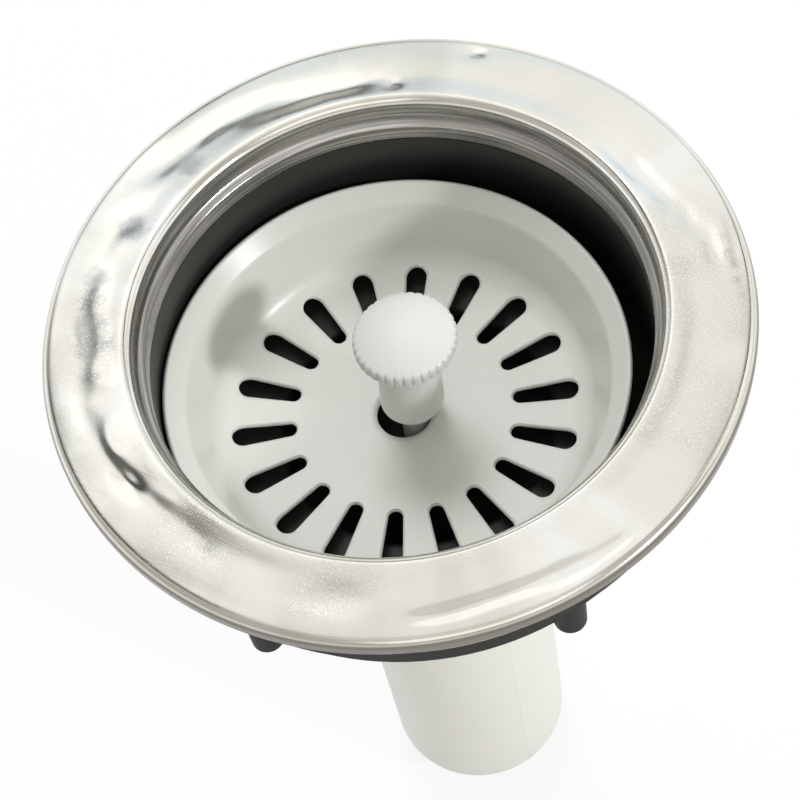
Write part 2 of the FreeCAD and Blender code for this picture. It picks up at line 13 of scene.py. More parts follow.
import bmesh
import bpy
from mathutils import Euler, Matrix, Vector


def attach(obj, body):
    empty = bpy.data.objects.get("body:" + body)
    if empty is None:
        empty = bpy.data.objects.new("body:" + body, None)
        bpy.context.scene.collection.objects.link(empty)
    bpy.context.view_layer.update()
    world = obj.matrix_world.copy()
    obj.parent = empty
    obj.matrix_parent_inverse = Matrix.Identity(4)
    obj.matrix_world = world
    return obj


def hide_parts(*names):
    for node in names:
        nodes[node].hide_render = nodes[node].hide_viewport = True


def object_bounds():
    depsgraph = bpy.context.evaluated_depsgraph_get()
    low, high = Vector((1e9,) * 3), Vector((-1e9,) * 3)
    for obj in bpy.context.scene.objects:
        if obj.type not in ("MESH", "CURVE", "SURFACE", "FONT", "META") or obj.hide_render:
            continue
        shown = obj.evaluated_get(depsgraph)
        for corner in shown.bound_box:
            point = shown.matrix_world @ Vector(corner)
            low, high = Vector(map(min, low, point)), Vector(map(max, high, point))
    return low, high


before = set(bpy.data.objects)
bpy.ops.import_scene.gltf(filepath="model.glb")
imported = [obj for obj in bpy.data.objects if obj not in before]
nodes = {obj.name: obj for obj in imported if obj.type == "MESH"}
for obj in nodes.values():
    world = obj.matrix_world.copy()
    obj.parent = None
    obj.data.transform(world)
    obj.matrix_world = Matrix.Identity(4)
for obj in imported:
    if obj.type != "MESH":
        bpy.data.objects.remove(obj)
cad_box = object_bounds()
MM = 0.001

# %% [markdown]
# ## The camera
#
# The picture looks down into the bowl from in front, with the camera rolled a little, so that the
# flange seems to dip to the left. Its place and lens were worked out from the flange's ellipse, the
# ring of slots and the far end of the tail pipe. They are plain numbers here, in the part's frame.

# %% Camera
CAMERA_PLACE = Vector((8.186, -167.442, 255.695)) * MM
CAMERA_TURN = Euler([math.radians(angle) for angle in (30.4909, 6.8637, -7.9554)], "XYZ")
CAMERA_LENS, CAMERA_SENSOR = 85.664, 36.0
CAMERA_NEAR = 0.01

camera_data = bpy.data.cameras.new("photo_camera")
camera_data.lens = CAMERA_LENS
camera_data.sensor_width = CAMERA_SENSOR
camera_data.clip_start = CAMERA_NEAR
camera = bpy.data.objects.new("photo_camera", camera_data)
camera.location = CAMERA_PLACE
camera.rotation_euler = CAMERA_TURN
bpy.context.scene.collection.objects.link(camera)
bpy.context.scene.camera = camera
bpy.context.scene.view_settings.view_transform = "Standard"
print("camera at", [round(c, 4) for c in camera.location], "lens", camera_data.lens)

# %% [markdown]
# ## Shader maths as plain sums
#
# A finish is a small net of nodes. Wiring each Math node by hand hides the idea, so a socket is
# wrapped in a class that knows sums: adding two wires adds a Math node, and so does `1 - mask`.
# Every other node comes from one method, which takes its type, its settings and its inputs.

# %% Wires and finishes
SEEN_BY = ("Camera", "Glossy", "Transmission")
# sockets of a Mix node that are for colours: its two inputs and its output
MIX_FIRST, MIX_SECOND, MIX_OUT = 6, 7, 2


class Wire:
    """An output socket that can be used in sums."""

    def __init__(self, finish, socket):
        self.finish = finish
        self.socket = socket

    def sum_with(self, operation, first, second):
        return self.finish.node("ShaderNodeMath", {"operation": operation}, {0: first, 1: second})

    def __add__(self, other):
        return self.sum_with("ADD", self, other)

    def __radd__(self, other):
        return self.sum_with("ADD", other, self)

    def __sub__(self, other):
        return self.sum_with("SUBTRACT", self, other)

    def __rsub__(self, other):
        return self.sum_with("SUBTRACT", other, self)

    def __mul__(self, other):
        return self.sum_with("MULTIPLY", self, other)

    def __rmul__(self, other):
        return self.sum_with("MULTIPLY", other, self)


class Finish:
    """One material and the nodes that make it."""

    def __init__(self, name, tree=None):
        if tree is None:
            self.material = bpy.data.materials.new(name)
            self.material.use_nodes = True
            tree = self.material.node_tree
        self.tree = tree
        self.tree.nodes.clear()

    def node(self, kind, settings=None, sockets=None, out=0):
        """Adds a node, sets it up, feeds its inputs and returns one of its outputs as a wire."""
        made = self.tree.nodes.new(kind)
        for key, value in (settings or {}).items():
            if key == "stops":
                self.set_stops(made.color_ramp, value)
            else:
                setattr(made, key, value)
        for key, value in (sockets or {}).items():
            if isinstance(value, Wire):
                self.tree.links.new(value.socket, made.inputs[key])
            else:
                made.inputs[key].default_value = value
        if len(made.outputs) == 0:
            return None
        return Wire(self, made.outputs[out])

    @staticmethod
    def set_stops(ramp, stops):
        while len(ramp.elements) < len(stops):
            ramp.elements.new(1.0)
        for element, (place, grey) in zip(ramp.elements, stops):
            element.position = place
            element.color = (grey, grey, grey, 1.0)

    def place_mm(self):
        """Where the surface is, in millimetres, in the piece's own frame."""
        place = self.node("ShaderNodeTexCoord", out="Object")
        return self.node("ShaderNodeVectorMath", {"operation": "SCALE"}, {0: place, "Scale": 1 / MM})

    def stretched(self, place, x, y, z):
        """The same place, stretched so that a pattern on it turns into streaks."""
        return self.node("ShaderNodeVectorMath", {"operation": "MULTIPLY"}, {0: place, 1: (x, y, z)})

    def noise(self, place, scale, detail=3.0, roughness=0.55):
        return self.node(
            "ShaderNodeTexNoise",
            {"noise_dimensions": "3D"},
            {"Vector": place, "Scale": scale, "Detail": detail, "Roughness": roughness},
            "Fac",
        )

    def ramp(self, wire, *stops):
        return self.node("ShaderNodeValToRGB", {"stops": stops}, {"Fac": wire}, "Color")

    def blend_colour(self, amount, first, second):
        return self.node(
            "ShaderNodeMix",
            {"data_type": "RGBA"},
            {"Factor": amount, MIX_FIRST: first, MIX_SECOND: second},
            MIX_OUT,
        )

    def bump(self, height, depth_mm, strength=1.0):
        """A surface normal from a height of 0 to 1 that stands for a depth in millimetres."""
        return self.node(
            "ShaderNodeBump",
            {},
            {"Height": height, "Distance": depth_mm * MM, "Strength": strength},
            "Normal",
        )

    def smooth_step(self, wire, low, high):
        """0 below low, 1 above high, with a soft rise between. Low and high may also be swapped."""
        return self.node(
            "ShaderNodeMapRange",
            {"interpolation_type": "SMOOTHSTEP"},
            {"Value": wire, "From Min": low, "From Max": high},
        )

    def seen(self):
        """1 where a surface is looked at, straight or in a mirror, and 0 where it only lights others."""
        rays = [self.node("ShaderNodeLightPath", out=f"Is {kind} Ray") for kind in SEEN_BY]
        return rays[0] + rays[1] + rays[2]

    def surface(self, sockets):
        """Closes the net with a Principled shader and returns the material."""
        shader = self.node("ShaderNodeBsdfPrincipled", {}, sockets, "BSDF")
        self.node("ShaderNodeOutputMaterial", {}, {"Surface": shader})
        return self.material


def colour(red, green, blue):
    return (red, green, blue, 1.0)


WHITE = colour(1, 1, 1)
print("shader kit ready")

# %% [markdown]
# ## The stage
#
# The real picture is a cut-out on white. A wide pale floor gives the same, and keeps a soft shadow.
# The floor lies under the lowest place that the tail pipe comes down to when its nut is undone.
# Part of its whiteness is only for rays from the camera and for mirrors, so that the floor can be
# white without throwing more light onto the part.

# %% Floor
FLOOR_DROP = 0.0095
FLOOR_SIZE = 12.0
FLOOR_GLOW = 0.86
FLOOR_COLOUR = colour(0.9, 0.9, 0.9)

floor_mesh = bpy.data.meshes.new("floor")
shape = bmesh.new()
bmesh.ops.create_grid(shape, x_segments=1, y_segments=1, size=FLOOR_SIZE)
shape.to_mesh(floor_mesh)
shape.free()
floor = bpy.data.objects.new("floor", floor_mesh)
floor.location.z = cad_box[0].z - FLOOR_DROP
bpy.context.scene.collection.objects.link(floor)

paper = Finish("floor_paper")
matt = paper.node("ShaderNodeBsdfDiffuse", {}, {"Color": FLOOR_COLOUR}, "BSDF")
glow = paper.node("ShaderNodeEmission", {}, {"Color": WHITE, "Strength": 1.0}, "Emission")
mixed = paper.node("ShaderNodeMixShader", {}, {0: paper.seen() * FLOOR_GLOW, 1: matt, 2: glow})
paper.node("ShaderNodeOutputMaterial", {}, {"Surface": mixed})
floor_mesh.materials.append(paper.material)
print("floor at", round(floor.location.z, 4))

# %% [markdown]
# ## The light
#
# Polished steel shows whatever stands around it, so the studio matters more than the metal. The
# room is dim, but to the eye and to mirrors it is white low down and right overhead.

# %% World
# how far up the room is white, where it turns white again overhead, and how white it is there
WHITE_BELOW, DIM_ABOVE = 0.36, 0.52
DIM_BELOW, WHITE_ABOVE = 0.955, 0.985
ZENITH_WHITE = 0.6
WALL_COLOUR, WALL_STRENGTH = colour(1.0, 0.985, 0.93), 0.53

world = bpy.data.worlds.new("studio")
world.use_nodes = True
bpy.context.scene.world = world
room = Finish("studio_room", world.node_tree)
look = room.node("ShaderNodeTexCoord", out="Generated")
rise = room.node("ShaderNodeSeparateXYZ", {}, {0: look}, "Z")
overhead = room.smooth_step(rise, DIM_BELOW, WHITE_ABOVE) * ZENITH_WHITE
white_part = room.smooth_step(rise, DIM_ABOVE, WHITE_BELOW) + overhead
walls = room.node("ShaderNodeBackground", {}, {"Color": WALL_COLOUR, "Strength": WALL_STRENGTH})
white = room.node("ShaderNodeBackground", {}, {"Color": WHITE, "Strength": 1.0})
mixed = room.node("ShaderNodeMixShader", {}, {0: room.seen() * white_part, 1: walls, 2: white})
room.node("ShaderNodeOutputWorld", {}, {"Surface": mixed})
print("room:", world.name)

# %% [markdown]
# Soft panels behind, above and in front fill most of what the flange mirrors. Where the dented
# sheet tips towards a dark card between them, it goes grey. A small lamp low on the right throws
# the knob's shadow. Two lamps do half a lamp's work: the lip's panel is only mirrored, and the high
# lamp lights the plastics without a mirror image of its own.

# %% Panels and cards
PANEL_DISTANCE, CARD_DISTANCE = 1.6, 1.5
CARD_ROUGHNESS = 0.9


def aim(thing, azimuth, elevation, distance):
    """Puts a thing at a bearing from the flange, facing it. Bearing 0 is behind, 90 to the right."""
    turn, tip = math.radians(azimuth), math.radians(elevation)
    way = Vector((math.sin(turn) * math.cos(tip), math.cos(turn) * math.cos(tip), math.sin(tip)))
    thing.location = way * distance
    thing.rotation_mode = "QUATERNION"
    thing.rotation_quaternion = way.to_track_quat("Z", "Y")
    bpy.context.scene.collection.objects.link(thing)


def soft_panel(name, azimuth, elevation, width, height, brightness, tint=(1, 1, 1)):
    """A lit panel. Its brightness adds to that of the room behind it, and a sum of 1 is white."""
    lamp = bpy.data.lights.new(name, "AREA")
    lamp.shape = "RECTANGLE"
    lamp.size, lamp.size_y = width, height
    lamp.energy = brightness * math.pi * width * height
    lamp.color = tint
    panel = bpy.data.objects.new(name, lamp)
    aim(panel, azimuth, elevation, PANEL_DISTANCE)
    return panel


def dark_card(name, azimuth, elevation, width, height, finish):
    """A card that only mirrors and soft light can see."""
    mesh = bpy.data.meshes.new(name)
    half_w, half_h = width / 2, height / 2
    corners = [(-half_w, -half_h, 0), (half_w, -half_h, 0), (half_w, half_h, 0), (-half_w, half_h, 0)]
    mesh.from_pydata(corners, [], [(0, 1, 2, 3)])
    mesh.materials.append(finish)
    card = bpy.data.objects.new(name, mesh)
    card.visible_camera = False
    card.visible_shadow = False
    aim(card, azimuth, elevation, CARD_DISTANCE)


def card_finish(name, grey):
    return Finish(name).surface({"Base Color": colour(grey, grey, grey), "Roughness": CARD_ROUGHNESS})


black = card_finish("black_card", 0.03)
grey = card_finish("grey_card", 0.4)
print("cards in", black.name, "and", grey.name)

# %% Studio
# name, bearing, elevation, width, height, brightness and tint of each panel
PANELS = [
    ("sky_panel", -3, 61, 1.8, 0.9, 0.5, (0.98, 1.0, 1.05)),
    ("low_sky_panel", -3, 40.5, 1.8, 0.27, 0.45, (0.75, 1.0, 1.25)),
    ("spark_panel", -9, 54, 0.36, 0.36, 0.36),
    ("left_panel", -27, 57, 0.34, 0.5, 0.14, (0.96, 1.0, 1.06)),
    ("lip_panel", 70, 45, 1.1, 0.8, 0.55),
    ("front_panel", 172, 58, 1.1, 0.8, 0.7),
    ("key_lamp", 124, 26, 0.13, 0.13, 215.0, (0.98, 0.99, 1.0)),
    ("high_lamp", -7, 61, 0.6, 0.6, 9.3, (0.97, 0.99, 1.0)),
]
# name, bearing, elevation, width, height and finish of each card
CARDS = [
    ("left_gap", -46, 54, 0.28, 0.8, black),
    ("left_low_gap", -36, 45, 0.24, 0.36, grey),
    ("right_gap", 40, 54, 0.2, 0.6, black),
    ("low_gap", -14, 38, 0.7, 0.11, black),
]

panels = {row[0]: soft_panel(*row) for row in PANELS}
panels["lip_panel"].visible_diffuse = False
panels["high_lamp"].visible_glossy = False
for row in CARDS:
    dark_card(*row)
print("lit by", list(panels))

# %% [markdown]
# ## Profiles and lathes
#
# Nearly every piece is round, so one helper turns a profile into a mesh. A profile is a list of
# corners, radius and height in millimetres, and a third number rounds a corner with a real arc.
# A lathe can also be told how far each point moves in or out, which gives dents and threads.

# %% Profile and lathe helpers
ARC_STEPS = 6
# radii this close, in millimetres, count as one, and points this close, in metres, are joined
SAME_RADIUS, WELD = 0.001, 1e-7
THREAD_STEP = 0.3


def rounded(corners, steps=ARC_STEPS):
    """Points along a profile whose corners of three numbers are rounded off."""
    points = []
    count = len(corners)
    for i, corner in enumerate(corners):
        here = Vector(corner[:2])
        if len(corner) == 2:
            points.append(here)
            continue
        before = (Vector(corners[i - 1][:2]) - here).normalized()
        after = (Vector(corners[(i + 1) % count][:2]) - here).normalized()
        half = before.angle(after) / 2
        centre = here + (before + after).normalized() * (corner[2] / math.sin(half))
        start = here + before * (corner[2] / math.tan(half)) - centre
        end = here + after * (corner[2] / math.tan(half)) - centre
        first = math.atan2(start.y, start.x)
        sweep = (math.atan2(end.y, end.x) - first + math.pi) % (2 * math.pi) - math.pi
        for step in range(steps + 1):
            angle = first + sweep * step / steps
            points.append(centre + corner[2] * Vector((math.cos(angle), math.sin(angle))))
    return points


def subdivided(points, longest, thread_radii=()):
    """The closed profile again, with no side longer than asked, and threads cut finer."""
    fine = []
    for here, after in zip(points, points[1:] + points[:1]):
        threaded = any(abs(here.x - r) + abs(after.x - r) < SAME_RADIUS for r in thread_radii)
        step_length = THREAD_STEP if threaded else longest
        parts = max(1, math.ceil((after - here).length / step_length))
        fine.extend(here.lerp(after, step / parts) for step in range(parts))
    return fine


def lathe(name, points, segments, shift=None):
    """A closed profile turned around the axis. shift(radius, height, angle) gives each new point."""
    shape = bmesh.new()
    rings = []
    for segment in range(segments):
        angle = 2 * math.pi * segment / segments
        ring = []
        for radius, height in points:
            if shift is not None:
                radius, height = shift(radius, height, angle)
            place = (radius * math.cos(angle) * MM, radius * math.sin(angle) * MM, height * MM)
            ring.append(shape.verts.new(place))
        rings.append(ring)
    count = len(points)
    for ring, after in zip(rings, rings[1:] + rings[:1]):
        for i in range(count):
            j = (i + 1) % count
            shape.faces.new((ring[i], after[i], after[j], ring[j]))
    bmesh.ops.remove_doubles(shape, verts=shape.verts, dist=WELD)
    bmesh.ops.recalc_face_normals(shape, faces=shape.faces)
    for face in shape.faces:
        face.smooth = True
    mesh = bpy.data.meshes.new(name)
    shape.to_mesh(mesh)
    shape.free()
    piece = bpy.data.objects.new(name, mesh)
    bpy.context.scene.collection.objects.link(piece)
    return piece


def dress(piece, body, slot, material, *stands_for):
    """Gives a new piece its finish, its body and the solids that it stands for."""
    piece.data.materials.append(material)
    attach(piece, body)
    if stands_for:
        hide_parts(*stands_for)
    print(piece.name, "has", len(piece.data.polygons), "faces")


print("lathe ready")

# %% [markdown]
# ## Polished steel
#
# The flange is thin stainless sheet, pressed and then rubbed bright. Close up it has a fine rub
# grain and a frost-like grain, and its brightest specks carry painted glints. The wheel that polished
# the face missed the skirt and the collar, so the steel there is rougher; its darker colour there is
# painted shade, and the rings around the collar are painted reflections.

# %% Grain of the steel
RUB_TURN = math.radians(38)
RUB_STRETCH = (0.14, 4.2, 1.0)
RING_STRETCH = (0.03, 0.03, 2.4)
FROST_SCALE = 3.2
RUB_SHARE, FROST_SHARE = 0.45, 0.55
FAN_SPREAD, FAN_DRIFT = 3.6, 0.05

steel = Finish("polished_steel")
place = steel.place_mm()
rub_way = steel.node(
    "ShaderNodeVectorRotate",
    {"rotation_type": "Z_AXIS"},
    {"Vector": place, "Angle": RUB_TURN},
)
rub = steel.noise(steel.stretched(rub_way, *RUB_STRETCH), scale=1.0, detail=3.0)
frost = steel.noise(place, FROST_SCALE, detail=2.0)
# the specks of the frost where painted glints go
painted_glint_specks = steel.ramp(frost, (0.53, 0.0), (0.72, 1.0))
grain = rub * RUB_SHARE + frost * FROST_SHARE
# painted reflections: light and dark rings around the collar, from noise stretched along the height
lines = steel.noise(steel.stretched(place, *RING_STRETCH), scale=1.0, detail=2.0)
painted_ring_reflections = steel.ramp(lines, (0.38, 0.0), (0.62, 1.0))
level_place = steel.stretched(place, 1, 1, 0)
outward = steel.node("ShaderNodeVectorMath", {"operation": "NORMALIZE"}, {0: level_place})
# fanned noise that breaks the painted reflections into wedges
fan = steel.node(
    "ShaderNodeVectorMath",
    {"operation": "MULTIPLY_ADD"},
    {0: outward, 1: (FAN_SPREAD, FAN_SPREAD, 0), 2: steel.stretched(place, FAN_DRIFT, FAN_DRIFT, 0)},
)
reflection_wedge = steel.ramp(steel.noise(fan, scale=1.0, detail=1.5), (0.42, 0.0), (0.62, 1.0))
# the rings and the wedges are patterns for painted reflections; the rub and the frost are real grain
print("rub, frost, drawing lines and wedges laid")

# %% [markdown]
# Lighter and darker reflections are painted into the face's colour in broad sectors around the ring,
# some lighter and some deeper.
# A sector comes from the angle between its bearing and the way out from the axis, and the fanned
# noise breaks it up into wedges.

# %% Painted bright and dark reflection sectors
# bearing and half width of each sector, in degrees
PAINTED_BRIGHT_SECTORS = [(10, 9), (27, 7), (150, 14), (189, 8), (295, 9)]
PAINTED_DARK_SECTORS = [(80, 7), (222, 10), (244, 14), (268, 12)]
SECTOR_BLUR = 6
WEDGE_IN_BRIGHT, WEDGE_IN_DEEP = 0.4, 0.5


def sectors(table):
    """1 inside any of the sectors, fading out on both sides."""
    share = 0.0
    for bearing, half_width in table:
        turn = math.radians(bearing)
        middle = (math.cos(turn), math.sin(turn), 0.0)
        along = steel.node(
            "ShaderNodeVectorMath",
            {"operation": "DOT_PRODUCT"},
            {0: outward, 1: middle},
            "Value",
        )
        outside = math.cos(math.radians(half_width + SECTOR_BLUR))
        inside = math.cos(math.radians(half_width - SECTOR_BLUR))
        share = share + steel.smooth_step(along, outside, inside)
    return steel.smooth_step(share, 0.0, 1.0)


# painted reflections: lighter and darker sectors of the mirror put into the face's colour
bright = sectors(PAINTED_BRIGHT_SECTORS) * (1 - WEDGE_IN_BRIGHT + reflection_wedge * WEDGE_IN_BRIGHT)
deep = sectors(PAINTED_DARK_SECTORS) * (1 - reflection_wedge * WEDGE_IN_DEEP)
print(len(PAINTED_BRIGHT_SECTORS), "bright and", len(PAINTED_DARK_SECTORS), "deep sectors")

# %% [markdown]
# Last come the marks of making and of use: patches that the wheel left dull, where the frost
# carries painted glints, and small grey scuffs. Each is a distance from a spot on the face, and noise
# added to that distance makes its edge ragged.

# %% Dull patches and scuffs
# height of the face, where the spots are
FACE_LEVEL = 5.3
# bearing in degrees, radius and reach of each patch that the wheel left dull
DULL_PATCHES = [
    (6, 48.0, 8.0),
    (-10, 48.0, 9.0),
    (-32, 48.5, 9.0),
    (178, 49.0, 6.5),
    (166, 50.0, 4.0),
    (222, 48.5, 7.0),
    (250, 49.0, 6.0),
]
# the same for each small grey scuff
SCUFFS = [
    (129, 47.0, 2.0),
    (147, 48.1, 2.6),
    (160, 49.9, 1.8),
    (165, 49.8, 1.8),
    (170, 49.3, 2.6),
    (175, 48.4, 2.8),
    (182, 49.0, 1.2),
    (227, 48.3, 1.4),
    (351, 54.3, 0.2),
    (354, 54.1, 0.4),
    (357, 53.8, 0.5),
    (0, 53.5, 0.4),
    (3, 53.2, 0.2),
]
# how ragged an edge is, and how far past the reach it starts and ends
DULL_RAG, DULL_START, DULL_END = 5.0, 5.0, -0.5
SCUFF_RAG, SCUFF_START, SCUFF_END = 4.0, 4.2, 0.4
BLOTCH_SHARE, PATCH_SHARE = 0.6, 0.9
SCUFF_EVEN, SCUFF_FROST = 0.45, 0.6


def away_from(bearing, radius):
    """Distance from a spot on the flange's face."""
    turn = math.radians(bearing)
    middle = (radius * math.cos(turn), radius * math.sin(turn), FACE_LEVEL)
    return steel.node("ShaderNodeVectorMath", {"operation": "DISTANCE"}, {0: place, 1: middle}, "Value")


dull = steel.smooth_step(steel.noise(place, scale=0.09, detail=2.0), 0.48, 0.70) * BLOTCH_SHARE
for bearing, radius, reach in DULL_PATCHES:
    distance = away_from(bearing, radius) + frost * DULL_RAG
    dull = dull + steel.smooth_step(distance, reach + DULL_START, reach + DULL_END) * PATCH_SHARE
ragged = frost + steel.noise(place, scale=0.35, detail=3.0) * SCUFF_RAG
scuff = 0.0
for bearing, radius, reach in SCUFFS:
    distance = away_from(bearing, radius) + ragged
    scuff = scuff + steel.smooth_step(distance, reach + SCUFF_START, reach + SCUFF_END)
scuff = steel.smooth_step(scuff, 0.0, 1.0) * (SCUFF_EVEN + frost * SCUFF_FROST)
print(len(DULL_PATCHES), "dull patches and", len(SCUFFS), "scuffs")

# %% [markdown]
# The tones are laid over each other from the broadest to the smallest, and the same patterns drive
# the roughness and a very shallow bump.

# %% Steel surface
POLISH_LOW, POLISH_HIGH = 4.4, 4.9
SKIRT_INSIDE, SKIRT_OUTSIDE = 46.0, 54.0
STEEL_FACE = colour(0.83, 0.81, 0.735)
# colours of the painted lighter and darker reflections on the face
PAINTED_BRIGHT_STEEL = colour(0.93, 0.925, 0.90)
PAINTED_DARK_STEEL = colour(0.70, 0.685, 0.615)
STEEL_RUBBED = colour(0.74, 0.715, 0.635)
# colour of the painted glints
PAINTED_GLINT_COLOUR = colour(0.96, 0.95, 0.90)
STEEL_SCUFF = colour(0.46, 0.465, 0.465)
# painted reflections and painted shade: the collar's light and dark rings, and the skirt's dark tone
PAINTED_COLLAR_LIGHT = colour(0.56, 0.55, 0.52)
PAINTED_COLLAR_DARK = colour(0.24, 0.235, 0.22)
PAINTED_SKIRT_SHADE = colour(0.22, 0.205, 0.175)
# how much of each pattern goes into the tone, the roughness and the bump
SECTOR_TONE, WEDGE_TONE = 0.8, 0.2
RUB_TONE, DULL_TONE = 0.5, 0.4
SCUFF_GLINT_SHARE = 0.3
ROUGH_POLISHED, ROUGH_GRAIN, ROUGH_DRAWN = 0.11, 0.06, 0.1
ROUGH_DULL, ROUGH_SCUFF = 0.07, 0.06
BUMP_EVEN, BUMP_DULL, BUMP_SCUFF = 0.3, 0.7, 0.3
BUMP_DEPTH = 0.016

level = steel.node("ShaderNodeSeparateXYZ", {}, {0: place}, "Z")
from_axis = steel.node("ShaderNodeVectorMath", {"operation": "LENGTH"}, {0: level_place}, "Value")
# 1 on the polished face; below it the steel is rougher, and its colour is painted shade and painted
# reflection rings
polished_unshaded = steel.smooth_step(level, POLISH_LOW, POLISH_HIGH)
skirt = steel.smooth_step(from_axis, SKIRT_INSIDE, SKIRT_OUTSIDE)
painted_collar_rings = steel.blend_colour(painted_ring_reflections, PAINTED_COLLAR_DARK, PAINTED_COLLAR_LIGHT)
painted_shade_below_face = steel.blend_colour(skirt, painted_collar_rings, PAINTED_SKIRT_SHADE)
# painted reflections: the sectors and wedges lighten and darken the face's colour
painted_bright_tone = bright * SECTOR_TONE + reflection_wedge * WEDGE_TONE
painted_bright_colour = steel.blend_colour(painted_bright_tone, STEEL_FACE, PAINTED_BRIGHT_STEEL)
painted_sector_colour = steel.blend_colour(deep, painted_bright_colour, PAINTED_DARK_STEEL)
rubbed_tone = rub * RUB_TONE + dull * DULL_TONE
rubbed_colour = steel.blend_colour(rubbed_tone, painted_sector_colour, STEEL_RUBBED)
scuffed_colour = steel.blend_colour(scuff, rubbed_colour, STEEL_SCUFF)
# painted glints: near-white specks of the frost in the dull patches and, less, in the scuffs
painted_glints = (dull + scuff * SCUFF_GLINT_SHARE) * painted_glint_specks
face_colour = steel.blend_colour(painted_glints, scuffed_colour, PAINTED_GLINT_COLOUR)
roughness = ROUGH_POLISHED + grain * ROUGH_GRAIN + (1 - polished_unshaded) * ROUGH_DRAWN
relief = grain * (BUMP_EVEN + dull * BUMP_DULL + scuff * BUMP_SCUFF)
polished_steel = steel.surface({
    "Base Color": steel.blend_colour(polished_unshaded, painted_shade_below_face, face_colour),
    "Metallic": 1.0,
    "Roughness": roughness + dull * ROUGH_DULL + scuff * ROUGH_SCUFF,
    "Normal": steel.bump(relief, BUMP_DEPTH),
})
print("finish:", polished_steel.name)

# %% [markdown]
# ## The dented flange
#
# The real flange is far from flat: thumb marks, pressing waves and small dings bend its mirror into
# patches. Bump shading alone would leave its edge and its outline perfect, so the dents are in the
# mesh. Each one is a soft hollow, or a low ridge where its depth is below zero, and all of them fade
# out before the lip and the mouth. The face is sunk a little first, and nothing rises above the top
# of the solid, so the sheet stays inside it.

# %% Dents
FLANGE_EDGE, FLANGE_TOP, GAUGE = 57.0, 5.5, 0.6
SKIRT_END, MOUTH, COLLAR = 2.5, 42.3, 41.1
STEP_TOP, STEP_END, COLLAR_END = 1.1, 0.1, -3.0
FACE_IN, FACE_OUT = 43.6, 56.0

# bearing in degrees, radius, half length along the ring, half width across it, depth or minus height
DENTS = [
    (132, 51.8, 5.0, 2.4, 0.26),
    (121, 50.4, 5.5, 2.2, 0.26),
    (110, 49.2, 5.5, 2.0, 0.24),
    (100, 48.0, 4.5, 1.8, 0.20),
    (91, 47.4, 4.0, 1.6, 0.12),
    (147, 49.2, 2.5, 1.6, 0.20),
    (152, 47.4, 3.0, 1.6, -0.10),
    (165, 48.6, 3.6, 1.6, -0.30),
    (173, 47.6, 3.0, 1.5, -0.20),
    (181, 47.8, 4.0, 1.7, -0.30),
    (189, 50.6, 4.0, 1.6, 0.12),
    (197, 47.4, 4.5, 1.6, -0.30),
    (206.5, 49.8, 3.0, 1.6, 0.30),
    (214, 46.6, 3.0, 1.4, -0.08),
    (224, 48.6, 5.0, 1.8, 0.10),
    (252, 50.4, 6.0, 2.4, 0.28),
    (270, 52.5, 6.0, 1.5, 0.24),
    (281, 52.8, 6.0, 1.4, 0.24),
    (291, 53.1, 5.0, 1.3, 0.20),
    (300, 53.2, 4.0, 1.2, 0.12),
    (302, 45.6, 1.2, 1.0, 0.06),
    (30, 46.0, 4.0, 1.8, 0.18),
    (23, 46.8, 4.0, 1.9, 0.24),
    (16, 48.2, 4.0, 1.8, 0.26),
    (9, 49.9, 4.0, 1.7, 0.24),
    (2, 51.5, 4.0, 1.6, 0.22),
    (4, 53.8, 7.0, 1.2, -0.12),
    (67, 53.7, 1.8, 1.6, 0.20),
    (82, 46.0, 1.2, 1.0, 0.10),
]
# height, number around the ring, twist along the radius and phase of each wave of the sheet
WAVES = [(0.02, 5, 0.0, 0.6), (0.015, 11, 0.35, 0.0)]
# the same for the waves that bend the dents themselves
WOBBLES = [(0.5, 9, 0.5, 0.0), (0.12, 23, -0.9, 0.0)]
SHEET_SINK, SINK_RUN = 0.2, 4.5
CROWN_MIDDLE, CROWN_DROP = 50.0, 0.0035
EDGE_RUN, DEEPEST = 2.0, 0.5


def eased(distance, length):
    """0 below zero, 1 beyond the length, and a smooth rise between."""
    share = min(max(distance / length, 0.0), 1.0)
    return share * share * (3 - 2 * share)


def rippled(table, radius, angle):
    """The sum of a table's waves at one point of the sheet."""
    total = 0.0
    for size, count, twist, phase in table:
        total += size * math.sin(count * angle + twist * radius + phase)
    return total


def dent_depth(radius, angle):
    """How far the sheet is below the top of its solid."""
    waves = rippled(WAVES, radius, angle)
    wobble = rippled(WOBBLES, radius, angle)
    for bearing, middle, length, width, deep in DENTS:
        turn = (angle - math.radians(bearing) + math.pi) % (2 * math.pi) - math.pi
        along = turn * middle / length
        across = (radius + wobble - middle) / width
        waves += deep * math.exp(-along * along - across * across)
    crown = max(radius - CROWN_MIDDLE, 0.0)
    sheet = SHEET_SINK * eased(radius - FACE_IN, SINK_RUN) + CROWN_DROP * crown * crown
    loose = eased(radius - FACE_IN, EDGE_RUN) * eased(FACE_OUT - radius, EDGE_RUN)
    return min(max(sheet + loose * waves, 0.0), DEEPEST)


def dented(radius, height, angle):
    """Sinks the face by the dents, and the lip and skirt by less towards the skirt's end."""
    if radius > CROWN_MIDDLE:
        height -= dent_depth(radius, angle) * (height - SKIRT_END) / (FLANGE_TOP - SKIRT_END)
    elif height > FLANGE_TOP - GAUGE / 2:
        height -= dent_depth(radius, angle)
    return radius, height


print(len(DENTS), "dents")

# %% Flange mesh
SHEET_STEP = 0.45
FLANGE_SEGMENTS, FLANGE_ARC_STEPS = 512, 10
LIP_ROUND, MOUTH_ROUND, STEP_ROUND = 1.4, 1.8, 0.5

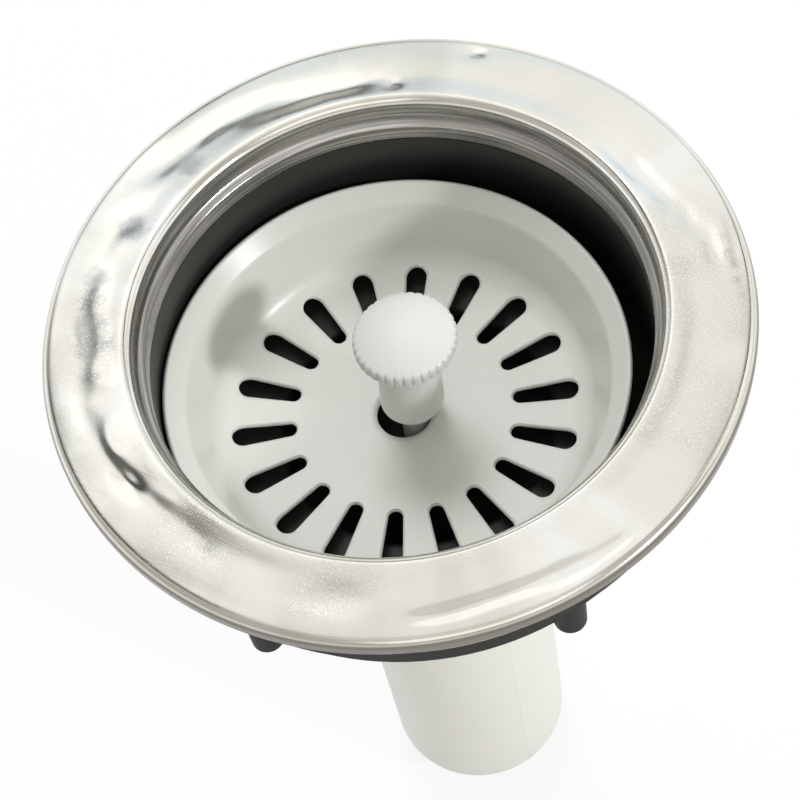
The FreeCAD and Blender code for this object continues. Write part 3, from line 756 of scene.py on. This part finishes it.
flange_profile = rounded([
    (FLANGE_EDGE, SKIRT_END),
    (FLANGE_EDGE, FLANGE_TOP, LIP_ROUND),
    (MOUTH, FLANGE_TOP, MOUTH_ROUND),
    (MOUTH, STEP_TOP, STEP_ROUND),
    (COLLAR, STEP_END, STEP_ROUND),
    (COLLAR, COLLAR_END),
    (COLLAR + GAUGE, COLLAR_END),
    (COLLAR + GAUGE, STEP_END),
    (MOUTH + GAUGE, STEP_TOP),
    (MOUTH + GAUGE, FLANGE_TOP - GAUGE, MOUTH_ROUND - GAUGE),
    (FLANGE_EDGE - GAUGE, FLANGE_TOP - GAUGE, LIP_ROUND - GAUGE),
    (FLANGE_EDGE - GAUGE, SKIRT_END),
], FLANGE_ARC_STEPS)
flange = lathe("dented_flange", subdivided(flange_profile, SHEET_STEP), FLANGE_SEGMENTS, dented)
dress(flange, "strainer", "flange_steel", polished_steel, "steel_flange")

# %% [markdown]
# ## Moulded plastics
#
# The bowl, the basket, the knob, the nuts and the pipe are all injection mouldings, each with its
# own colour and polish. One recipe covers them: a base colour that drifts slightly, a flow pattern
# in the gloss, and a fine skin texture as a shallow bump. What differs is handed in as values.

# %% Moulding recipe
CLOUD_SHARE, PORE_SHARE = 0.75, 0.25
FLOW_ROUGHNESS, PORE_ROUGHNESS = 0.1, 0.06


def moulding(name, light, dark, gloss, skin=0.9, depth=0.006, shine=0.5):
    """Plastic from the mould: colour drifts between two tones, and a fine skin breaks the gloss."""
    finish = Finish(name)
    place = finish.place_mm()
    cloud = finish.ramp(finish.noise(place, scale=0.035, detail=1.0), (0.3, 0.0), (0.7, 1.0))
    flow = finish.noise(finish.stretched(place, 1.0, 1.0, 0.25), scale=0.12, detail=2.0)
    pores = finish.noise(place, skin, detail=4.0)
    return finish.surface({
        "Base Color": finish.blend_colour(cloud * CLOUD_SHARE + pores * PORE_SHARE, light, dark),
        "Roughness": gloss + flow * FLOW_ROUGHNESS + pores * PORE_ROUGHNESS,
        "Normal": finish.bump(pores, depth),
        "Specular IOR Level": shine,
    })


black_bowl = moulding(
    "black_bowl", colour(0.015, 0.015, 0.0135), colour(0.021, 0.021, 0.0195), gloss=0.32,
)
white_basket = moulding(
    "white_basket", colour(0.735, 0.73, 0.69), colour(0.71, 0.705, 0.665), gloss=0.24,
)
white_knob = moulding(
    "white_knob", colour(0.72, 0.72, 0.69), colour(0.695, 0.695, 0.665), gloss=0.26,
)
grey_nut = moulding(
    "grey_nut", colour(0.02, 0.02, 0.018), colour(0.014, 0.014, 0.012), gloss=0.45,
    skin=2.2, depth=0.02, shine=0.14,
)
black_backing = moulding(
    "black_backing", colour(0.014, 0.014, 0.014), colour(0.02, 0.02, 0.019), gloss=0.45,
)
pale_pipe = moulding(
    "pale_pipe", colour(0.745, 0.735, 0.68), colour(0.72, 0.71, 0.65), gloss=0.26,
)
pale_coupling = moulding(
    "pale_coupling", colour(0.73, 0.72, 0.67), colour(0.69, 0.68, 0.63), gloss=0.38,
    skin=2.0, depth=0.012,
)
print("moulded finishes ready")

# %% [markdown]
# ## Rubber, fibre and fastener steel
#
# The small rings under the sink are cut from sheet: rubber with a grey bloom, and a tan slip ring
# of pressed fibre. The stopper's screw and washer are plain turned steel. They show only from
# below or when the plug is lifted, but each gets its own grain.

# %% Rubber, fibre and plain steel
def rubber_finish():
    rubber = Finish("seal_rubber")
    place = rubber.place_mm()
    bloom = rubber.ramp(rubber.noise(place, scale=0.16, detail=3.0), (0.45, 0.0), (0.75, 1.0))
    pores = rubber.noise(place, scale=4.0, detail=3.0)
    return rubber.surface({
        "Base Color": rubber.blend_colour(
            bloom, colour(0.012, 0.012, 0.012), colour(0.024, 0.024, 0.023),
        ),
        "Roughness": 0.62 + pores * 0.2,
        "Specular IOR Level": 0.07,
        "Normal": rubber.bump(pores, 0.02),
    })


def fibre_finish():
    fibre = Finish("slip_fibre")
    place = fibre.place_mm()
    strands = fibre.noise(fibre.stretched(place, 1.0, 5.0, 1.0), scale=1.1, detail=4.0)
    return fibre.surface({
        "Base Color": fibre.blend_colour(strands, colour(0.38, 0.34, 0.27), colour(0.55, 0.51, 0.43)),
        "Roughness": 0.6 + strands * 0.2,
        "Normal": fibre.bump(strands, 0.03),
    })


def fastener_finish():
    plain = Finish("fastener_steel")
    place = plain.place_mm()
    turned = plain.noise(plain.stretched(place, 1.0, 1.0, 6.0), scale=1.4, detail=2.0)
    return plain.surface({
        "Base Color": plain.blend_colour(turned, colour(0.6, 0.6, 0.59), colour(0.5, 0.5, 0.49)),
        "Metallic": 1.0,
        "Roughness": 0.25 + turned * 0.15,
        "Normal": plain.bump(turned, 0.01),
    })


seal_rubber = rubber_finish()
slip_fibre = fibre_finish()
fastener_steel = fastener_finish()
print("rubber, fibre and fastener finishes ready")

# %% [markdown]
# ## The bowl and its threads
#
# The bowl is one black moulding. Its solid has plain cylinders at the crests of its two threads,
# which is all that a nut needs, but from the side the eye looks for the screw. So the bowl is
# turned again here, and a helical groove is cut into the neck and the outlet on the way: the depth
# depends on height minus turn, which is what makes it a screw and not a row of rings.

# %% Bowl mesh
NECK, OUTLET = 44.25, 23.6
RIM_EDGE, RIM_UNDER, RIM_TOP = 56.25, 2.5, 4.9
BOWL_INSIDE, BOWL_FLOOR, BOWL_UNDER = 41.5, -29.5, -32.1
SEAT, BORE, OUTLET_END = 23.4, 20.0, -55.9
HUB, HUB_END = 27.4, -39.9
COLLAR_SEAT, STEP_SEAT = 41.85, 43.05
# radius of the crest, lowest and highest point, pitch and depth of each thread
THREADS = [(NECK, -26.8, -0.6, 3.0, 1.0), (OUTLET, -55.4, -43.3, 2.3, 0.9)]
# share of the pitch that the crest takes, and that its two flanks take together
CREST_SHARE, FLANK_SHARE = 0.3, 0.35
BOWL_STEP = 3.0
BOWL_SEGMENTS = 240


def groove_share(phase):
    """0 on the crest of a thread, 1 at its root, with sloping flanks."""
    flank = (abs(2 * phase - 1) - CREST_SHARE) / FLANK_SHARE
    return min(max(flank, 0.0), 1.0)


def threaded(radius, height, angle):
    """Cuts the groove into the crest of a thread, and lets it run out at both ends."""
    for crest, low, high, pitch, depth in THREADS:
        if abs(radius - crest) < SAME_RADIUS and low < height < high:
            runout = min(1.0, (height - low) / pitch, (high - height) / pitch)
            phase = (height / pitch - angle / (2 * math.pi)) % 1.0
            radius -= depth * runout * groove_share(phase)
            break
    return radius, height


bowl_profile = rounded([
    (RIM_EDGE, RIM_UNDER),
    (RIM_EDGE, 3.5),
    (54.85, RIM_TOP),
    (44.85, RIM_TOP),
    (STEP_SEAT, 3.1),
    (STEP_SEAT, 0.95),
    (COLLAR_SEAT, -0.05),
    (COLLAR_SEAT, -3.15),
    (BOWL_INSIDE, -3.15, 0.15),
    (BOWL_INSIDE, BOWL_FLOOR, 6.0),
    (SEAT, BOWL_FLOOR, 1.4),
    (SEAT, -36.7),
    (BORE, HUB_END),
    (BORE, OUTLET_END),
    (OUTLET, OUTLET_END),
    (OUTLET, -42.9),
    (HUB, HUB_END),
    (HUB, BOWL_UNDER),
    (NECK, BOWL_UNDER, 5.0),
    (NECK, RIM_UNDER),
])
bowl_points = subdivided(bowl_profile, BOWL_STEP, [NECK, OUTLET])
bowl = lathe("threaded_bowl", bowl_points, BOWL_SEGMENTS, threaded)
dress(bowl, "strainer", "bowl_plastic", black_bowl, "strainer_body")

# %% [markdown]
# Webs brace the bowl's floor from below. Each is a flat plate that reaches a little way into the
# hub around the outlet and into the floor, so that no gap can show.

# %% Webs under the bowl
WEB_COUNT, WEB_THICK = 8, 2.2
WEB_IN, WEB_OUT, WEB_TOP = 26.1, 39.9, -30.8
WEB_SIDE = [
    (WEB_IN, WEB_TOP),
    (WEB_IN, HUB_END),
    (HUB, HUB_END),
    (WEB_OUT, BOWL_UNDER),
    (WEB_OUT, WEB_TOP),
]
WEB_EDGE = 0.3

shape = bmesh.new()
for web in range(WEB_COUNT):
    turn = 2 * math.pi * web / WEB_COUNT
    along = Vector((math.cos(turn), math.sin(turn), 0)) * MM
    sideways = Vector((-math.sin(turn), math.cos(turn), 0)) * MM
    faces = []
    for side in (-WEB_THICK / 2, WEB_THICK / 2):
        corners = [along * r + sideways * side + Vector((0, 0, z * MM)) for r, z in WEB_SIDE]
        faces.append([shape.verts.new(corner) for corner in corners])
    near, far = faces
    shape.faces.new(near)
    shape.faces.new(far[::-1])
    for i in range(len(WEB_SIDE)):
        j = (i + 1) % len(WEB_SIDE)
        shape.faces.new((near[j], near[i], far[i], far[j]))
bmesh.ops.recalc_face_normals(shape, faces=shape.faces)
bmesh.ops.bevel(shape, geom=shape.edges[:], offset=WEB_EDGE * MM, segments=2, affect="EDGES")
web_mesh = bpy.data.meshes.new("bowl_webs")
shape.to_mesh(web_mesh)
shape.free()
webs = bpy.data.objects.new("bowl_webs", web_mesh)
bpy.context.scene.collection.objects.link(webs)
dress(webs, "strainer", "bowl_plastic", black_bowl, "strainer_body")

# %% [markdown]
# ## The slotted basket
#
# The basket is a thin dish with a ring of tapered slots. Cutting slots out of a lathed dish would
# leave ragged faces, so the grid is laid around them from the start: each slot owns a sector of the
# dish, and its rows begin at the slot's edge where there is one. The open sheet is then thickened,
# and its edges get the small radius that the mould leaves.

# %% Rows of the basket
BASKET_SHIFT = Vector((-1.85, 0, 0)) * MM
HOLE, BASKET_FLOOR = 4.8, -25.9
SLOTS, SLOT_PHASE = 18, math.radians(17.6)
SLOT_NEAR, SLOT_NEAR_HALF = 20.1, 1.3
SLOT_FAR, SLOT_FAR_HALF = 28.25, 1.85
SLOT_STEPS, DISH_ARC_STEPS = 6, 10
FLOOR_RADII = (HOLE, 6.0, 8.5, 12.0, 15.5, 17.8)
DISH_CORNER, DISH_RIM, RIM_HEIGHT = 31.9, 39.2, -11.5
# how far past the slots the next row of the dish has to be
ROW_GAP = 0.1

dish_profile = rounded([
    (HOLE, BASKET_FLOOR),
    (DISH_CORNER, BASKET_FLOOR, 5.0),
    (35.8, -14.3, 2.5),
    (38.5, RIM_HEIGHT, 0.5),
    (DISH_RIM, RIM_HEIGHT),
], DISH_ARC_STEPS)


def dish_height(radius):
    """Height of the dish's sheet at a radius."""
    height = BASKET_FLOOR
    for here, after in zip(dish_profile, dish_profile[1:]):
        if radius > here.x:
            height = here.lerp(after, min((radius - here.x) / (after.x - here.x), 1.0)).y
    return height


def slot_rows():
    """Radius and half width along a slot, from its inner tip to its outer tip."""
    turns = [math.pi / 2 * step / SLOT_STEPS for step in range(SLOT_STEPS + 1)]
    rows = [(SLOT_NEAR - SLOT_NEAR_HALF * math.cos(t), SLOT_NEAR_HALF * math.sin(t)) for t in turns]
    for step in range(1, SLOT_STEPS):
        share = step / SLOT_STEPS
        half = SLOT_NEAR_HALF + (SLOT_FAR_HALF - SLOT_NEAR_HALF) * share
        rows.append((SLOT_NEAR + (SLOT_FAR - SLOT_NEAR) * share, half))
    rows += [(SLOT_FAR + SLOT_FAR_HALF * math.sin(t), SLOT_FAR_HALF * math.cos(t)) for t in turns]
    return rows


slot_end = SLOT_FAR + SLOT_FAR_HALF
dish_rows = [(radius, 0.0) for radius in FLOOR_RADII]
dish_rows += slot_rows()
dish_rows += [(point.x, 0.0) for point in dish_profile if point.x > slot_end + ROW_GAP]
print(len(dish_rows), "rows from the hole to the rim")

# %% Basket mesh
SLOT_COLUMNS = 5
BASKET_SHEET, BASKET_EDGE = 0.9, 0.22
BASKET_WELD, SHARP_ANGLE = 1e-6, 0.8

shape = bmesh.new()
for slot in range(SLOTS):
    middle = SLOT_PHASE + 2 * math.pi * slot / SLOTS
    for side in (1, -1):
        grid = []
        for radius, half in dish_rows:
            start = half / radius
            reach = math.pi / SLOTS - start
            row = []
            for column in range(SLOT_COLUMNS + 1):
                angle = middle + side * (start + reach * column / SLOT_COLUMNS)
                spot = Vector((radius * math.cos(angle), radius * math.sin(angle), dish_height(radius)))
                row.append(shape.verts.new(spot * MM + BASKET_SHIFT))
            grid.append(row)
        for row, after in zip(grid, grid[1:]):
            for j in range(SLOT_COLUMNS):
                corners = (row[j], after[j], after[j + 1], row[j + 1])
                shape.faces.new(corners[::side])
bmesh.ops.remove_doubles(shape, verts=shape.verts, dist=BASKET_WELD)
bmesh.ops.solidify(shape, geom=shape.faces[:], thickness=BASKET_SHEET * MM)
bmesh.ops.recalc_face_normals(shape, faces=shape.faces)
closed_edges = [edge for edge in shape.edges if edge.is_manifold]
sharp_edges = [edge for edge in closed_edges if edge.calc_face_angle() > SHARP_ANGLE]
bmesh.ops.bevel(shape, geom=sharp_edges, offset=BASKET_EDGE * MM, segments=2, affect="EDGES")
for face in shape.faces:
    face.smooth = True
basket_mesh = bpy.data.meshes.new("slotted_basket")
shape.to_mesh(basket_mesh)
shape.free()
basket = bpy.data.objects.new("slotted_basket", basket_mesh)
bpy.context.scene.collection.objects.link(basket)
basket.modifiers.new("even_normals", "WEIGHTED_NORMAL")
dress(basket, "strainer", "basket_plastic", white_basket, "strainer_basket")

# %% [markdown]
# The basket stands on a foot ring, which reaches from the bowl's floor up into the corner of the
# dish.

# %% Foot of the basket
FOOT_IN, FOOT_OUT, FOOT_EDGE = 32.4, 33.7, 0.3
FOOT_SEGMENTS = 180

foot_profile = rounded([
    (FOOT_IN, BOWL_FLOOR, FOOT_EDGE),
    (FOOT_OUT, BOWL_FLOOR, FOOT_EDGE),
    (FOOT_OUT, -22.5),
    (FOOT_IN, -26.4),
])
foot = lathe("basket_foot", foot_profile, FOOT_SEGMENTS)
for vertex in foot.data.vertices:
    vertex.co += BASKET_SHIFT
dress(foot, "strainer", "basket_plastic", white_basket, "strainer_basket")

# %% [markdown]
# ## The pull knob
#
# The knob, its stem and its leg are one moulding. Its edge is fluted for the fingers with small
# round lobes, and every corner has the soft radius that a mould leaves. Solids with sharp grooves
# catch the light too hard, so the knob is turned here with the lobes in its radius. The plug sits
# loosely in the basket, so its stem leans a millimetre to one side.

# %% Knob mesh
KNOB, KNOB_CROWN, DOME_RADIUS = 8.6, 0.6, 14.5
LOBES, LOBE_DEPTH, LOBE_REACH = 36, 0.32, 0.8
LOBE_LOW = -4.2
KNOB_SEGMENTS, KNOB_STEP = LOBES * 10, 1.5
STEM_FOOT, KNOB_LEAN = -21.9, 0.05
LEG, LEG_END = 2.65, -35.1
SCREW_HOLE, SCREW_HOLE_TOP = 2.0, -26.1
DOME_RADII = (7.0, 6.2, 5.2, 4.0, 2.6, 1.2)


def fluted(radius, height, angle):
    """Draws the edge of the knob in between its lobes."""
    if radius > KNOB - LOBE_REACH and height > LOBE_LOW:
        near_edge = (radius - KNOB + LOBE_REACH) / LOBE_REACH
        valley = 1 - abs(math.sin(LOBES / 2 * angle))
        radius -= LOBE_DEPTH * near_edge * valley * valley
    return radius, height


dome = [(r, KNOB_CROWN - r * r / (2 * DOME_RADIUS)) for r in DOME_RADII]
knob_profile = rounded([
    (0.0, KNOB_CROWN),
    (0.0, SCREW_HOLE_TOP),
    (SCREW_HOLE, SCREW_HOLE_TOP),
    (SCREW_HOLE, LEG_END),
    (LEG, LEG_END),
    (LEG, STEM_FOOT, 0.5),
    (5.5, STEM_FOOT, 1.0),
    (5.1, -5.5, 1.4),
    (KNOB, -3.9, 0.5),
    (KNOB, -1.9, 1.2),
    *dome,
])
knob = lathe("fluted_knob", subdivided(knob_profile, KNOB_STEP), KNOB_SEGMENTS, fluted)
for vertex in knob.data.vertices:
    vertex.co.x += KNOB_LEAN * max(vertex.co.z - STEM_FOOT * MM, 0.0)
dress(knob, "plug", "knob_plastic", white_knob, "plug_knob")

# %% [markdown]
# ## The tail pipe
#
# The pipe is moulded in two halves, so a low seam runs down each side. It is barely a tenth of a
# millimetre high, but light from the side finds it. The lathe adds it as a small rise in radius.

# %% Pipe mesh
PIPE, PIPE_BORE, PIPE_END = 19.05, 17.45, -158.9
PIPE_ROOT, PIPE_FLANGE, PIPE_FLANGE_UNDER, PIPE_TOP = 19.55, 22.65, -60.9, -57.9
PIPE_EDGE = 0.4
SEAM_BEARINGS = (math.radians(-62), math.radians(118))
SEAM_HEIGHT, SEAM_WIDTH = 0.1, 0.45
PIPE_SEGMENTS, PIPE_ARC_STEPS, PIPE_STEP = 360, 4, 8.0


def seamed(radius, height, angle):
    """Raises the pipe's outside along its two seams."""
    if abs(radius - PIPE) < SAME_RADIUS:
        for bearing in SEAM_BEARINGS:
            turn = (angle - bearing + math.pi) % (2 * math.pi) - math.pi
            across = turn * PIPE / SEAM_WIDTH
            radius += SEAM_HEIGHT * math.exp(-across * across)
    return radius, height


pipe_profile = rounded([
    (PIPE_BORE, PIPE_END, PIPE_EDGE),
    (PIPE, PIPE_END, 0.5),
    (PIPE, -66.4),
    (PIPE_ROOT, -66.0, 0.3),
    (PIPE_ROOT, PIPE_FLANGE_UNDER),
    (PIPE_FLANGE, PIPE_FLANGE_UNDER, PIPE_EDGE),
    (PIPE_FLANGE, PIPE_TOP, PIPE_EDGE),
    (PIPE_BORE, PIPE_TOP, PIPE_EDGE),
], PIPE_ARC_STEPS)
pipe = lathe("seamed_pipe", subdivided(pipe_profile, PIPE_STEP), PIPE_SEGMENTS, seamed)
dress(pipe, "tail", "pipe_plastic", pale_pipe, "tail_pipe")

# %% [markdown]
# ## The pieces that stay as packed
#
# The nuts, the washers, the gasket and the stopper keep their solids, which already have their full
# shape. Each only gets its finish.

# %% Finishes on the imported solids
FINISH_OF = {
    "flange_gasket": seal_rubber,
    "stopper_backing": black_backing,
    "stopper_seal": seal_rubber,
    "stopper_washer": fastener_steel,
    "stopper_screw": fastener_steel,
    "sink_washer": seal_rubber,
    "friction_washer": slip_fibre,
    "clamp_nut": grey_nut,
    "tail_washer": seal_rubber,
    "coupling_nut": pale_coupling,
}
for name, material in FINISH_OF.items():
    solid = nodes[name].data
    solid.materials.clear()
    solid.materials.append(material)
print("dressed", len(FINISH_OF), "solids")
